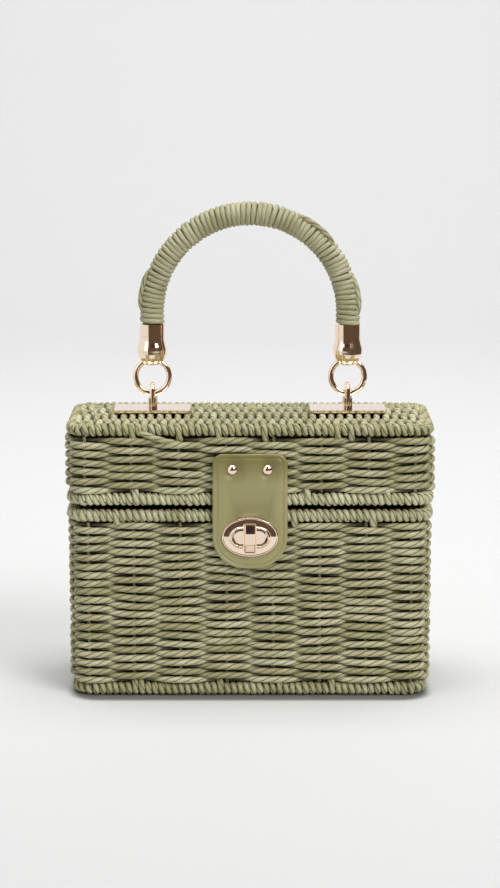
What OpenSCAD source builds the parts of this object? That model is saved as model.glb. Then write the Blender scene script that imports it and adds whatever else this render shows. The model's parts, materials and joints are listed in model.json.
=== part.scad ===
// Basket box bag: a twisted-cord woven box with a lashed lid, a leather tab with a turn lock,
// and an arched cord-wrapped handle on two rings.
// Frame: Z up, front towards -Y, origin at the middle of the base where it stands.

/* [Box] */
// Width of the lid over its rim
lid_w = 210; // [170:1:260]
// Depth of the lid over its rim
lid_d = 96; // [84:1:130]
// Outside corner radius in plan
corner_r = 14; // [12:0.5:20]
// How much narrower the lower box is than the lid, in all
body_inset = 3; // [0:0.5:6]
// How much the lower box draws in from its rim to its base, each side
body_taper = 1.2; // [0:0.1:3]
// Height of the lower box, base to rim top
body_h = 108.8; // [80:0.1:150]
// Height of the lid, rim underside to top border
lid_h = 46.7; // [36:0.1:70]
// Gap between the two rims
rim_gap = 1.9; // [0.8:0.1:3]

/* [Weave] */
// Height of one row of weave
row_pitch = 2.6; // [2.4:0.1:4]
// Depth of the weave from crest to hollow
weave_depth = 2.3; // [1:0.1:3]
// Thickness of the woven wall behind its crests
wall_t = 7.2; // [6.5:0.1:9]
// How far the weave crests lie inside the rims
crest_inset = 0.6; // [0.2:0.1:1.5]
// Columns of weave round the box, the first one starting at the middle of the front
weave_columns = 22; // [16:2:32]

/* [Borders] */
// Radius of the wrapped rims
rim_r = 3.9; // [3.2:0.1:4.2]
// Radius of the wrapped border round the top
top_border_r = 3.4; // [2.8:0.1:4.2]
// Radius of the wrapped border round the base
base_border_r = 4; // [3.2:0.1:4.6]
// Spacing of the turns of cord on a border
turn_pitch = 3.8; // [3:0.1:6]
// How deep the grooves between turns are
turn_groove = 0.7; // [0.3:0.1:1]
// Radius of the steel hoop inside a rim
hoop_r = 1.5; // [1:0.1:2]

/* [Top and base panels] */
// Thickness of the woven top panel
top_panel_t = 5.4; // [4:0.1:8]
// Spacing of the cords across the top
top_cord_pitch = 2.7; // [2.4:0.1:5]
// Spacing of the wires that the top cords pass over
top_wire_pitch = 21; // [14:0.5:30]
// Depth of the stitches in the top
stitch_depth = 1.4; // [0.5:0.1:2]
// How far the middle of the top rises over its border
top_bow = 2.2; // [0:0.1:4]
// Thickness of the base panel
base_panel_t = 6; // [4:0.1:8]
// Spacing of the ridges under the base
base_row_pitch = 5; // [4:0.5:8]

/* [Lining] */
// Thickness of the lining
lining_t = 1; // [0.6:0.1:2]
// Gap between the lining and the weave
lining_gap = 0.1; // [0.05:0.05:0.5]
// How much rounder the lining's corners are than the weave's inside
lining_ease = 5; // [4:0.5:8]

/* [Hinge lashings] */
// Distance of each lashing from the lid's end
lashing_inset = 47; // [30:1:60]
// Turns of cord in a lashing
lashing_turns = 5; // [3:1:8]
// Width of one turn of a lashing
lashing_turn_w = 3.2; // [2.5:0.1:4.5]
// Thickness of the lashing cord
lashing_t = 2.3; // [1.5:0.1:3]
// Clearance between a lashing and the rims
lashing_clear = 0.35; // [0.2:0.05:0.8]

/* [Closure tab] */
// Width of the leather tab
tab_w = 42.5; // [36:0.5:60]
// Height of the leather tab
tab_h = 66; // [58:0.5:80]
// How far the tab's top edge lies below the lid's top
tab_drop = 16; // [10:0.5:20]
// Thickness of the leather
tab_t = 1.8; // [1.2:0.1:3]
// Radius of the tab's upper corners
tab_top_r = 6; // [3:0.5:10]
// Radius of the tab's lower corners
tab_bottom_r = 18; // [8:0.5:18]
// Width of the tab's turned edge
tab_edge = 2.6; // [1.5:0.1:4]
// Height of the tab's padded field over its edge
tab_field = 0.4; // [0.2:0.1:0.8]
// Distance between the two rivets
rivet_spacing = 20; // [14:0.5:28]
// Distance of the rivets below the tab's top edge
rivet_drop = 9; // [7:0.5:12]
// Radius of a rivet head
rivet_head_r = 3.1; // [2:0.1:4]
// Radius of a rivet shank
rivet_shank_r = 1.1; // [0.8:0.1:1.5]

/* [Turn lock] */
// Height of the lock's centre above the tab's lower end
lock_rise = 18.5; // [16:0.5:24]
// Width of the oval eyelet plate
eyelet_w = 32; // [29:0.5:36]
// Height of the oval eyelet plate
eyelet_h = 22.6; // [20:0.2:28]
// Width of the slot in the eyelet
slot_w = 19.6; // [19:0.2:22]
// Height of the slot in the eyelet
slot_h = 9.4; // [9:0.1:11]
// Thickness of the eyelet plate at its edge
eyelet_t = 1; // [0.8:0.1:2]
// Rise of the eyelet plate from edge to middle
eyelet_crown = 1.2; // [0.6:0.1:2]
// Length of the turning knob
knob_l = 18; // [14:0.2:18.4]
// Width of the turning knob
knob_w = 7.4; // [5:0.1:8]
// Thickness of the knob
knob_t = 4.4; // [3:0.1:7]
// Radius of the knob's shaft
shaft_r = 2; // [1.5:0.1:2.4]
// Radial clearance of the shaft in its boss
shaft_clear = 0.05; // [0.02:0.01:0.1]
// Radius of the boss that the shaft turns in
boss_r = 3.8; // [3.2:0.1:4.2]
// Width of the lock's base plate
lock_plate_w = 24; // [22:0.5:28]
// Height of the lock's base plate
lock_plate_h = 15; // [12:0.5:18]
// Gap round the boss in the eyelet's slot
boss_gap = 0.9; // [0.5:0.1:1.5]
// Length of the flat in the middle of the knob's front
knob_flat = 6.4; // [4:0.1:10]
// Thickness of the knob at its ends
knob_end_t = 1.8; // [1:0.1:3]
// Width of the bevel along the knob's front
knob_bevel = 0.8; // [0.3:0.1:1.2]

/* [Handle] */
// Half the distance between the handle's ends
handle_half = 56.5; // [45:0.5:64]
// Radius of the wrapped handle
handle_r = 7; // [5.5:0.1:9]
// Radius of the rod inside the wrap
core_r = 4; // [3:0.1:4.5]
// Straight length of each leg between cap and arch
leg_l = 7.2; // [2:0.1:30]
// Spacing of the ridges of the handle's wrap
wrap_pitch = 4; // [3:0.1:6]
// Depth of the grooves in the handle's wrap
wrap_groove = 0.6; // [0.2:0.1:1]

/* [Handle hardware] */
// Length of the plates on the lid
plate_l = 44; // [30:0.5:50]
// Depth of the plates on the lid
plate_d = 27; // [16:0.5:30]
// Thickness of the plates
plate_t = 1.5; // [1.2:0.1:3]
// Radius of the wire of the eye that stands on a plate
eye_wire_r = 1.6; // [1.2:0.1:2]
// Height of the eye over its plate
eye_h = 15.1; // [14:0.1:22]
// Height of the paired posts that the eye's wire stands in
eye_foot_h = 6; // [3:0.5:6]
// Width of a pair of posts
eye_foot_w = 5.4; // [4.8:0.1:8]
// Play of the ring's wire in the eye, each side
eye_play = 0.3; // [0.25:0.05:0.8]
// How far the ring has sunk below the eye's bend
ring_drop = 1.5; // [0:0.1:2]
// Radius of a ring's wire
ring_wire_r = 1.65; // [1.2:0.05:1.8]
// Radius of a ring, to the middle of its wire
ring_r = 9.7; // [9:0.1:12]
// Height of an end cap
cap_h = 24; // [20:0.2:32]
// Widest radius of an end cap
cap_bulb_r = 8.7; // [7.8:0.1:10]
// Radius of an end cap's lower end
cap_tip_r = 2.2; // [1.5:0.1:6.5]
// Play of the ring in the cap
ring_play = 0.5; // [0.4:0.05:0.8]
// Thickness of the cap under its ring
cap_bridge = 1; // [0.8:0.1:2]
// Depth of the handle's socket in the cap
socket_depth = 11; // [6:0.5:11]

/* [Hidden] */
$fn = 64;
eps = 0.01;
touch = 0.05;
seat_gap = 0.2;

// Levels, from the base up
body_rim_z = body_h - rim_r;
lid_base_z = body_h + rim_gap;
lid_rim_z = lid_base_z + rim_r;
lid_top_z = lid_base_z + lid_h;
top_border_z = lid_top_z - top_border_r;
top_panel_top_z = lid_top_z - 0.4;
top_panel_bottom_z = top_panel_top_z - top_panel_t;

// Plan sizes over the rims and the weave
body_w = lid_w - body_inset;
body_d = lid_d - body_inset;
lid_front_y = -lid_d / 2;
body_crest_y = -body_d / 2 + crest_inset;
lining_inset = crest_inset + wall_t + lining_gap;
body_lining_inset = body_taper + max(lining_inset, 2 * base_border_r + touch);
lining_corner_r = max(lining_t + 1, corner_r - lining_inset + lining_ease);

// Hinge line: the middle of the lid's rear rim
hinge_y = lid_d / 2 - rim_r;
body_rear_rim_y = body_d / 2 - rim_r;
lashing_x = lid_w / 2 - lashing_inset;
lashing_in_r = rim_r + lashing_clear;
lashing_out_r = lashing_in_r + lashing_t;
lashing_w = lashing_turns * lashing_turn_w;
lashing_cut_r = lashing_out_r + lashing_clear;
lashing_cut_w = lashing_w + 2;

// Tab and lock places, measured along -Y from the rims
tab_back_y = lid_front_y - 0.3;
tab_front_y = tab_back_y - tab_t;
tab_top_z = lid_top_z - tab_drop;
tab_bottom_z = tab_top_z - tab_h;
rivet_z = tab_top_z - rivet_drop;
lock_z = tab_bottom_z + lock_rise;
base_plate_t = 0.8;
back_plate_t = 0.5;
eyelet_front_y = tab_front_y - tab_field - eyelet_t - eyelet_crown;
boss_front_y = eyelet_front_y - 0.5;
knob_back_y = boss_front_y - 0.3;
base_front_y = body_crest_y - seat_gap - base_plate_t;
prong_x = 8.5;
prong_w = 1.2;
prong_h = 3.6;
washer_t = 0.8;
body_inner_y = -body_d / 2 + body_lining_inset + lining_t;
lid_inner_y = lid_front_y + lining_inset + lining_t;

// Handle places, from the lid's top up
plate_z = top_panel_top_z + top_bow + touch;
plate_top_z = plate_z + plate_t;
ring_pivot_z = plate_top_z + eye_h - 2 * eye_wire_r - eye_play - ring_wire_r - ring_drop;
ring_z = ring_pivot_z + ring_r;
cap_pivot_z = ring_z + ring_r;
cap_bottom_z = cap_pivot_z - ring_wire_r - ring_play - cap_bridge;
cap_top_z = cap_bottom_z + cap_h;
arch_z = cap_top_z + touch + leg_l;

// A rectangle with round corners, centred
module round_rect(w, d, r) {
    square([w - 2 * r, d], center = true);
    square([w, d - 2 * r], center = true);
    for (sx = [-1, 1], sy = [-1, 1])
        translate([sx * (w / 2 - r), sy * (d / 2 - r)]) circle(r);
}

// An ellipse outline
function oval(w, h, n = 48) = [for (i = [0:n - 1]) [w / 2 * cos(360 * i / n), h / 2 * sin(360 * i / n)]];

// Stands a flat outline up, so that its Y becomes Z and its thickness runs towards -Y
module upright(y, t) {
    translate([0, y, 0]) rotate([90, 0, 0]) linear_extrude(t) children();
}

// Plan of the weave: [x, y, outward x, outward y, column, place in the column]
column_parts = 3;

// A point of a plan with straight sides 2a by 2b and corners r, at a distance s from the middle of the front
function plan_at(s, a, b, r) =
    let (arc = r * PI / 2, bend = s - a, rise = bend - arc)
        bend <= 0 ? [s, -b - r, 0, -1]
        : rise <= 0 ? let (t = 90 * bend / arc - 90) [a + r * cos(t), r * sin(t) - b, cos(t), sin(t)]
        : rise <= b ? [a + r, rise - b, 1, 0]
        : let (q = plan_at(rise - b, b, a, r)) [-q[1], q[0], -q[3], q[2]];

function weave_plan(w, d, r) =
    let (a = w / 2 - r, b = d / 2 - r, around = 4 * (a + b) + 2 * PI * r)
        [for (c = [0:weave_columns - 1], p = [0:column_parts - 1])
            concat(plan_at(around * (c + p / column_parts) / weave_columns, a, b, r), [c, p])];

// How far out the weave stands at a row: crests and hollows change over from column to column
between_columns = 0.45;
function weave_height(row, rows, column, part) =
    (row == 0 || row == rows || part == 0) ? between_columns : (row + column) % 2 == 0 ? 1 : 0;

// Splits the quad a b c d of a closed skin into two triangles
function quad(a, b, c, d) = [[a, b, c], [a, c, d]];

// A woven wall: rows of lens-shaped floats outside, flat inside
module woven_wall(w, d, r, z0, z1, taper) {
    plan = weave_plan(w, d, r);
    m = len(plan);
    rows = 2 * round((z1 - z0) / row_pitch / 2);
    function level(j) = z0 + (z1 - z0) * j / rows;
    function draw_in(j) = taper * (1 - j / rows);
    function at(i, j, inset) =
        let (q = plan[i], s = inset + draw_in(j)) [q[0] - q[2] * s, q[1] - q[3] * s, level(j)];
    skin = [for (j = [0:rows], i = [0:m - 1])
        at(i, j, weave_depth * (1 - weave_height(j, rows, plan[i][4], plan[i][5])))];
    inside = [for (j = [0, rows], i = [0:m - 1]) at(i, j, wall_t)];
    low = (rows + 1) * m;
    high = low + m;
    faces = [for (i = [0:m - 1]) let (n = (i + 1) % m) each concat(
        [for (j = [0:rows - 1]) each
            quad(j * m + i, (j + 1) * m + i, (j + 1) * m + n, j * m + n)],
        quad(low + i, low + n, high + n, high + i),
        quad(low + i, i, n, low + n),
        quad(rows * m + i, high + i, high + n, rows * m + n))];
    polyhedron(concat(skin, inside), faces);
}

// Outline of half a straight wrapped border: turns of cord with grooves between them
module turns_outline(l, r) {
    n = max(1, round(l / turn_pitch));
    p = l / n;
    turns = [for (i = [0:n - 1], q = [[0, 1], [0.28, 0], [0.72, 0]])
        [r - q[1] * turn_groove, (i + q[0]) * p]];
    polygon(concat([[0, 0]], turns, [[r - turn_groove, l], [0, l]]));
}

// Puts its child at each of the four corners of a border, turned to face out
module at_corners(sx, sy) {
    for (q = [[1, 1, 0], [-1, 1, 90], [-1, -1, 180], [1, -1, 270]])
        translate([q[0] * sx, q[1] * sy, 0]) rotate([0, 0, q[2]]) children();
}

// A round rod along the middle line of a border
module border_rod(w, d, r, border_r, rod_r, z) {
    sx = w / 2 - r;
    sy = d / 2 - r;
    translate([0, 0, z]) {
        for (s = [-1, 1]) {
            translate([-sx, s * (d / 2 - border_r), 0]) rotate([0, 90, 0]) cylinder(r = rod_r, h = 2 * sx);
            translate([s * (w / 2 - border_r), sy, 0]) rotate([90, 0, 0]) cylinder(r = rod_r, h = 2 * sy);
        }
        at_corners(sx, sy) rotate_extrude(angle = 90) translate([r - border_r, 0]) circle(rod_r);
    }
}

// A border of wrapped cord, with its crests at the outside of a w by d plan
corner_turns = 4;
module wrapped_border(w, d, r, border_r, z) {
    sx = w / 2 - r;
    sy = d / 2 - r;
    step = 90 / corner_turns;
    module straight(l) {
        translate([-l / 2, 0, 0]) rotate([90, 0, 90]) rotate_extrude() turns_outline(l, border_r);
    }
    module bend(part_r, start, sweep) {
        rotate([0, 0, start]) rotate_extrude(angle = sweep) translate([r - border_r, 0]) circle(part_r);
    }
    translate([0, 0, z]) {
        for (s = [-1, 1]) {
            translate([0, s * (d / 2 - border_r), 0]) straight(2 * sx);
            translate([s * (w / 2 - border_r), 0, 0]) rotate([0, 0, 90]) straight(2 * sy);
        }
        at_corners(sx, sy) {
            bend(border_r - turn_groove, 0, 90);
            for (i = [0:corner_turns - 1]) bend(border_r, (i + 0.2) * step, step * 0.6);
        }
    }
}

// A wrapped rim with the hollow that its steel hoop lies in
module rim(w, d, z) {
    difference() {
        wrapped_border(w, d, corner_r, rim_r, z);
        border_rod(w, d, corner_r, rim_r, hoop_r, z);
    }
}

// Room for both lashings round a rim's middle line
module lashing_room(y, z) {
    for (s = [-1, 1]) translate([s * lashing_x - lashing_cut_w / 2, y, z])
        rotate([0, 90, 0]) cylinder(r = lashing_cut_r, h = lashing_cut_w);
}

// The two slots that the lock's prongs pass through
module prong_slots(y0, y1, room) {
    for (s = [-1, 1])
        translate([s * prong_x - prong_w / 2 - room, y0, lock_z - prong_h / 2 - room])
            cube([prong_w + 2 * room, y1 - y0, prong_h + 2 * room]);
}

// The two holes that the tab's rivets pass through
module rivet_holes(y0, y1, r) {
    for (s = [-1, 1]) translate([s * rivet_spacing / 2, y0, rivet_z])
        rotate([-90, 0, 0]) cylinder(r = r, h = y1 - y0);
}

cord_green = "#9C9B6B";
leather_green = "#8C8A54";
lining_green = "#4B4A33";
pale_gold = "#E3BE93";
steel_grey = "#8A8A88";

base_w = body_w - 2 * body_taper;
base_d = body_d - 2 * body_taper;

module body_wall() {
    color(cord_green) difference() {
        woven_wall(body_w - 2 * crest_inset, body_d - 2 * crest_inset, corner_r - crest_inset,
            2 * base_border_r + touch, body_h - 2 * rim_r - touch, body_taper);
        prong_slots(-body_d / 2 - 1, 0, 0.15);
        lashing_room(body_rear_rim_y, body_rim_z);
    }
}

module body_rim() {
    color(cord_green) rim(body_w, body_d, body_rim_z);
}

module body_rim_hoop() {
    color(steel_grey) border_rod(body_w, body_d, corner_r, rim_r, hoop_r - touch, body_rim_z);
}

module base_border() {
    color(cord_green) wrapped_border(base_w, base_d, corner_r, base_border_r, base_border_r);
}

// Base panel: ridged underneath, with a flat land on each ridge to stand on
module base_panel() {
    w = base_w - 4 * base_border_r - 2 * touch;
    d = base_d - 4 * base_border_r - 2 * touch;
    rows = 2 * floor(d / base_row_pitch / 2) + 1;
    groove = 0.8;
    p = d / rows;
    color(cord_green) difference() {
        linear_extrude(base_panel_t) round_rect(w, d, max(1, corner_r - 2 * base_border_r));
        for (i = [1:rows - 1]) translate([-w / 2 - 1, -d / 2 + i * p, 0])
            rotate([90, 0, 90]) linear_extrude(w + 2)
                polygon([[-groove, -eps], [groove, -eps], [0, groove]]);
    }
}

module body_lining() {
    w = body_w - 2 * body_lining_inset;
    d = body_d - 2 * body_lining_inset;
    r = lining_corner_r;
    floor_z = base_panel_t + touch;
    color(lining_green) difference() {
        translate([0, 0, floor_z]) linear_extrude(body_h - 1 - floor_z) round_rect(w, d, r);
        translate([0, 0, floor_z + lining_t]) linear_extrude(body_h)
            round_rect(w - 2 * lining_t, d - 2 * lining_t, r - lining_t);
        prong_slots(-body_d / 2 - 1, 0, 0.15);
        lashing_room(body_rear_rim_y, body_rim_z);
    }
}

// A lashing: turns of cord round the lid's rear rim and the body's rear rim
module hinge_lashing(x) {
    module loop(r) {
        for (q = [[hinge_y, lid_rim_z], [body_rear_rim_y, body_rim_z]]) translate(q) circle(r);
        polygon([[hinge_y - r, lid_rim_z], [hinge_y + r, lid_rim_z],
            [body_rear_rim_y + r, body_rim_z], [body_rear_rim_y - r, body_rim_z]]);
    }
    groove = 0.5;
    // Each turn is a low slice, a full slice and a low slice: where it starts, its width, and if it is low
    slices = [[0, 0.25, 1], [0.25, 0.5, 0], [0.75, 0.25, 1]];
    color(cord_green) translate([x - lashing_w / 2, 0, 0])
        for (i = [0:lashing_turns - 1], q = slices)
            translate([(i + q[0]) * lashing_turn_w, 0, 0]) rotate([90, 0, 90])
                linear_extrude(q[1] * lashing_turn_w) difference() {
                    loop(lashing_out_r - q[2] * groove);
                    loop(lashing_in_r);
                }
}

module left_hinge_lashing() { hinge_lashing(-lashing_x); }
module right_hinge_lashing() { hinge_lashing(lashing_x); }

// Lock base: oval plate with a bored boss that fills the eyelet's slot, and two prongs through the weave
module lock_base() {
    plate_back_y = body_crest_y - seat_gap;
    prong_end_y = body_inner_y + washer_t + 0.8;
    color(pale_gold) difference() {
        union() {
            translate([0, 0, lock_z]) upright(plate_back_y, base_plate_t)
                polygon(oval(lock_plate_w, lock_plate_h));
            upright(plate_back_y - eps, plate_back_y - eyelet_front_y - eps) lock_slot(-boss_gap);
            translate([0, plate_back_y - eps, lock_z]) rotate([90, 0, 0])
                cylinder(r = boss_r, h = plate_back_y - boss_front_y - eps);
            prong_slots(plate_back_y - base_plate_t / 2, prong_end_y, 0);
        }
        translate([0, plate_back_y + 1, lock_z]) rotate([90, 0, 0])
            cylinder(r = shaft_r + shaft_clear, h = plate_back_y - boss_front_y + 2);
    }
}

// Washer that holds the lock's prongs inside the lining
module lock_washer() {
    y = body_inner_y + washer_t + touch;
    color(pale_gold) difference() {
        translate([0, 0, lock_z]) upright(y, washer_t) polygon(oval(lock_plate_w, 0.8 * lock_plate_h));
        prong_slots(y - 2, y + 1, 0.1);
    }
}

// Knob: a bar with a flat middle, ends that slope back and bevelled sides, on a shaft
module turn_knob() {
    back_y = body_crest_y - seat_gap;
    side = [[0, -knob_l / 2], [-knob_end_t, -knob_l / 2], [-knob_t, -knob_flat / 2],
        [-knob_t, knob_flat / 2], [-knob_end_t, knob_l / 2], [0, knob_l / 2]];
    end = [[-knob_w / 2, 0], [-knob_w / 2, knob_bevel - knob_t], [knob_bevel - knob_w / 2, -knob_t],
        [knob_w / 2 - knob_bevel, -knob_t], [knob_w / 2, knob_bevel - knob_t], [knob_w / 2, 0]];
    color(pale_gold) union() {
        intersection() {
            translate([0, 0, lock_z]) upright(knob_back_y, knob_t)
                round_rect(knob_w, knob_l, knob_w / 2 - 0.6);
            translate([-knob_w / 2, knob_back_y, lock_z]) rotate([90, 0, 90])
                linear_extrude(knob_w) polygon(side);
            translate([0, knob_back_y, lock_z - knob_l / 2]) linear_extrude(knob_l) polygon(end);
        }
        translate([0, back_y, lock_z]) rotate([90, 0, 0]) cylinder(r = shaft_r, h = back_y - knob_back_y + 1);
    }
}

module lid_wall() {
    color(cord_green) difference() {
        woven_wall(lid_w - 2 * crest_inset, lid_d - 2 * crest_inset, corner_r - crest_inset,
            lid_base_z + 2 * rim_r + touch, lid_top_z - 2 * top_border_r - touch, 0);
        rivet_holes(lid_front_y - 1, 0, rivet_shank_r + touch);
        lashing_room(hinge_y, lid_rim_z);
    }
}

module lid_rim() {
    color(cord_green) rim(lid_w, lid_d, lid_rim_z);
}

module lid_rim_hoop() {
    color(steel_grey) border_rod(lid_w, lid_d, corner_r, rim_r, hoop_r - touch, lid_rim_z);
}

module lid_top_border() {
    color(cord_green) wrapped_border(lid_w, lid_d, corner_r, top_border_r, top_border_z);
}

// Top panel: cords from front to back over wires that run across, so stitches stand out by turns
module lid_top_panel() {
    hx = lid_w / 2 - 2 * top_border_r - touch;
    hy = lid_d / 2 - 2 * top_border_r - touch;
    r = corner_r - 2 * top_border_r;
    cords = round(2 * hx / top_cord_pitch);
    wires = round(2 * hy / top_wire_pitch);
    nx = 2 * cords;
    function x_at(i) = -hx + 2 * hx * i / nx;
    function reach(x) = hy - (abs(x) > hx - r ? r - sqrt(max(0, r * r - pow(abs(x) - hx + r, 2))) : 0);
    function stitch(i, j) =
        i % 2 == 0 ? 0 : (j == 0 || j == wires) ? 0.5 : ((i - 1) / 2 + j) % 2 == 0 ? 1 : 0.35;
    function y_at(i, j) = reach(x_at(i)) * (2 * j / wires - 1);
    function bow(x, y) = top_bow * (1 - pow(x / hx, 8)) * (1 - pow(y / hy, 2));
    m = wires + 1;
    top = [for (i = [0:nx], j = [0:wires]) let (x = x_at(i), y = y_at(i, j))
        [x, y, top_panel_top_z + bow(x, y) - stitch_depth * (1 - stitch(i, j))]];
    bottom = [for (i = [0:nx], j = [0, wires]) [x_at(i), y_at(i, j), top_panel_bottom_z]];
    b = (nx + 1) * m;
    faces = concat(
        [for (i = [0:nx - 1], j = [0:wires - 1]) each
            quad(i * m + j, i * m + j + 1, (i + 1) * m + j + 1, (i + 1) * m + j)],
        [for (i = [0:nx - 1]) each concat(
            quad(b + 2 * i, b + 2 * i + 2, b + 2 * i + 3, b + 2 * i + 1),
            quad(i * m, (i + 1) * m, b + 2 * i + 2, b + 2 * i),
            quad(i * m + wires, b + 2 * i + 1, b + 2 * i + 3, (i + 1) * m + wires))],
        [for (j = [1:wires]) each [[b, j, j - 1], [b + 2 * nx, nx * m + j - 1, nx * m + j]]],
        [[b, b + 1, wires], [b + 2 * nx, nx * m + wires, b + 2 * nx + 1]]);
    color(cord_green) polyhedron(concat(top, bottom), faces);
}

module lid_lining() {
    w = lid_w - 2 * lining_inset;
    d = lid_d - 2 * lining_inset;
    r = lining_corner_r;
    z0 = lid_base_z + 0.6;
    z1 = top_panel_bottom_z - touch;
    color(lining_green) difference() {
        translate([0, 0, z0]) linear_extrude(z1 - z0) round_rect(w, d, r);
        translate([0, 0, z0 - 1]) linear_extrude(z1 - lining_t - z0 + 1)
            round_rect(w - 2 * lining_t, d - 2 * lining_t, r - lining_t);
        rivet_holes(lid_front_y - 1, 0, rivet_shank_r + touch);
        lashing_room(hinge_y, lid_rim_z);
    }
}

// Outline of the tab: round shoulders, and a deep round lower end
module tab_outline(inset) {
    w = tab_w - 2 * inset;
    top_r = tab_top_r - inset;
    low_r = tab_bottom_r - inset;
    z0 = tab_bottom_z + inset;
    z1 = tab_top_z - inset;
    for (s = [-1, 1]) {
        translate([s * (w / 2 - top_r), z1 - top_r]) circle(top_r);
        translate([s * (w / 2 - low_r), z0 + low_r]) circle(low_r);
    }
    translate([-w / 2, z0 + low_r]) square([w, z1 - z0 - low_r - top_r]);
    translate([-w / 2 + top_r, z1 - 2 * top_r]) square([w - 2 * top_r, 2 * top_r]);
    translate([-w / 2 + low_r, z0]) square([w - 2 * low_r, 2 * low_r]);
}

module lock_slot(room) {
    w = slot_w + 2 * room;
    h = slot_h + 2 * room;
    translate([0, lock_z]) {
        square([w - h, h], center = true);
        for (s = [-1, 1]) translate([s * (w - h) / 2, 0]) circle(h / 2);
    }
}

module closure_tab() {
    color(leather_green) difference() {
        union() {
            upright(tab_back_y, tab_t) tab_outline(0);
            upright(tab_front_y + eps, tab_field + eps) tab_outline(tab_edge);
        }
        upright(tab_back_y + 1, tab_t + tab_field + 2) lock_slot(0.8);
        rivet_holes(tab_front_y - 2, tab_back_y + 1, rivet_shank_r + touch);
    }
}

// Rivets: domed heads on shanks that reach through the lid to their washers
module tab_rivets() {
    seat_y = tab_front_y - tab_field - touch;
    head_h = 2.2;
    dome_r = (rivet_head_r * rivet_head_r + head_h * head_h) / (2 * head_h);
    shank_end_y = lid_inner_y + washer_t + 0.8;
    color(pale_gold) for (s = [-1, 1])
        translate([s * rivet_spacing / 2, seat_y, rivet_z]) rotate([90, 0, 0]) {
            intersection() {
                translate([0, 0, head_h - dome_r]) sphere(dome_r);
                cylinder(r = rivet_head_r + 1, h = head_h + 1);
            }
            translate([0, 0, seat_y - shank_end_y])
                cylinder(r = rivet_shank_r, h = shank_end_y - seat_y + eps);
        }
}

module rivet_washers() {
    color(pale_gold) for (s = [-1, 1]) translate([s * rivet_spacing / 2, lid_inner_y + touch, rivet_z])
        rotate([-90, 0, 0]) difference() {
            cylinder(r = rivet_head_r, h = washer_t);
            translate([0, 0, -1]) cylinder(r = rivet_shank_r + touch, h = washer_t + 2);
        }
}

// A shallow dome: its rim radius and its rise, on a straight edge
module dome(r, rise, edge) {
    arc_r = (r * r + rise * rise) / (2 * rise);
    arc = [for (t = [1:-0.1:0]) [r * t, edge + rise - arc_r + sqrt(arc_r * arc_r - r * r * t * t)]];
    rotate_extrude($fn = 120) polygon(concat([[0, 0], [r, 0]], arc));
}

// Eyelet plate: a domed oval with a rimmed slot for the knob
module eyelet_plate() {
    back_y = tab_front_y - tab_field - touch;
    rim_w = 1.4;
    color(pale_gold) difference() {
        union() {
            intersection() {
                translate([0, 0, lock_z]) upright(back_y, 10) polygon(oval(eyelet_w, eyelet_h));
                translate([0, back_y, lock_z]) rotate([90, 0, 0])
                    dome(eyelet_w / 2 + 1, eyelet_crown, eyelet_t);
            }
            upright(back_y - 0.5, eyelet_t + eyelet_crown - 0.5) lock_slot(rim_w);
        }
        upright(back_y + 1, 12) lock_slot(0);
    }
}

// Back plate of the eyelet, behind the leather
module eyelet_back() {
    color(pale_gold) upright(tab_back_y + back_plate_t + touch, back_plate_t) difference() {
        translate([0, lock_z]) polygon(oval(eyelet_w - 3, eyelet_h - 3));
        lock_slot(0.4);
    }
}

// Handle plate with an upright eye of bent wire for the ring, each leg held by a pair of posts
module handle_plate(x) {
    bend_r = ring_wire_r + eye_play + eye_wire_r;
    bend_z = plate_top_z + eye_h - eye_wire_r - bend_r;
    post_r = eye_foot_w / 4;
    color(pale_gold) translate([x, 0, 0]) {
        translate([-plate_l / 2, -plate_d / 2, plate_z]) cube([plate_l, plate_d, plate_t]);
        translate([0, 0, bend_z]) rotate([90, 0, 90])
            rotate_extrude(angle = 180) translate([bend_r, 0]) circle(eye_wire_r);
        for (s = [-1, 1]) translate([0, s * bend_r, plate_top_z - eps]) {
            cylinder(r = eye_wire_r, h = bend_z - plate_top_z + eps);
            for (q = [-1, 1]) translate([q * post_r, 0, 0]) cylinder(r = post_r + touch, h = eye_foot_h);
        }
    }
}

module left_handle_plate() { handle_plate(-handle_half); }
module right_handle_plate() { handle_plate(handle_half); }

module ring(x) {
    color(pale_gold) translate([x, 0, ring_z]) rotate([90, 0, 0])
        rotate_extrude() translate([ring_r, 0]) circle(ring_wire_r);
}

module left_ring() { ring(-handle_half); }
module right_ring() { ring(handle_half); }

// End cap: a bell that swells to a bulb, bored for the handle and for its ring
module end_cap(x) {
    neck_r = handle_r + 0.3;
    bulb_z = cap_bottom_z + 0.38 * cap_h;
    neck_z = cap_top_z - 6.5;
    waist = 0.35;
    swell = [for (t = [0:0.125:1])
        [neck_r - waist * sin(180 * t) + (cap_bulb_r - neck_r) * (1 - cos(180 * t)) / 2,
            neck_z + (bulb_z - neck_z) * t]];
    round_off = [for (a = [15:15:90])
        [cap_tip_r + (cap_bulb_r - cap_tip_r) * cos(a), bulb_z - (bulb_z - cap_bottom_z) * sin(a)]];
    color(pale_gold) translate([x, 0, 0]) difference() {
        rotate_extrude() polygon(concat([[0, cap_top_z], [neck_r, cap_top_z]], swell, round_off,
            [[0, cap_bottom_z]]));
        translate([0, 0, cap_top_z - socket_depth]) cylinder(r = core_r + touch, h = socket_depth + 1);
        translate([0, 0, ring_z]) rotate([90, 0, 0])
            rotate_extrude() translate([ring_r, 0]) circle(ring_wire_r + ring_play);
    }
}

module left_end_cap() { end_cap(-handle_half); }
module right_end_cap() { end_cap(handle_half); }

// Rod inside the handle: an arch with two legs that end in the caps
module handle_core() {
    foot_z = cap_top_z - socket_depth + 0.5;
    color(steel_grey) {
        translate([0, 0, arch_z]) rotate([90, 0, 0])
            rotate_extrude(angle = 180) translate([handle_half, 0]) circle(core_r);
        for (s = [-1, 1]) translate([s * handle_half, 0, foot_z]) cylinder(r = core_r, h = arch_z - foot_z);
    }
}

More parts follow.
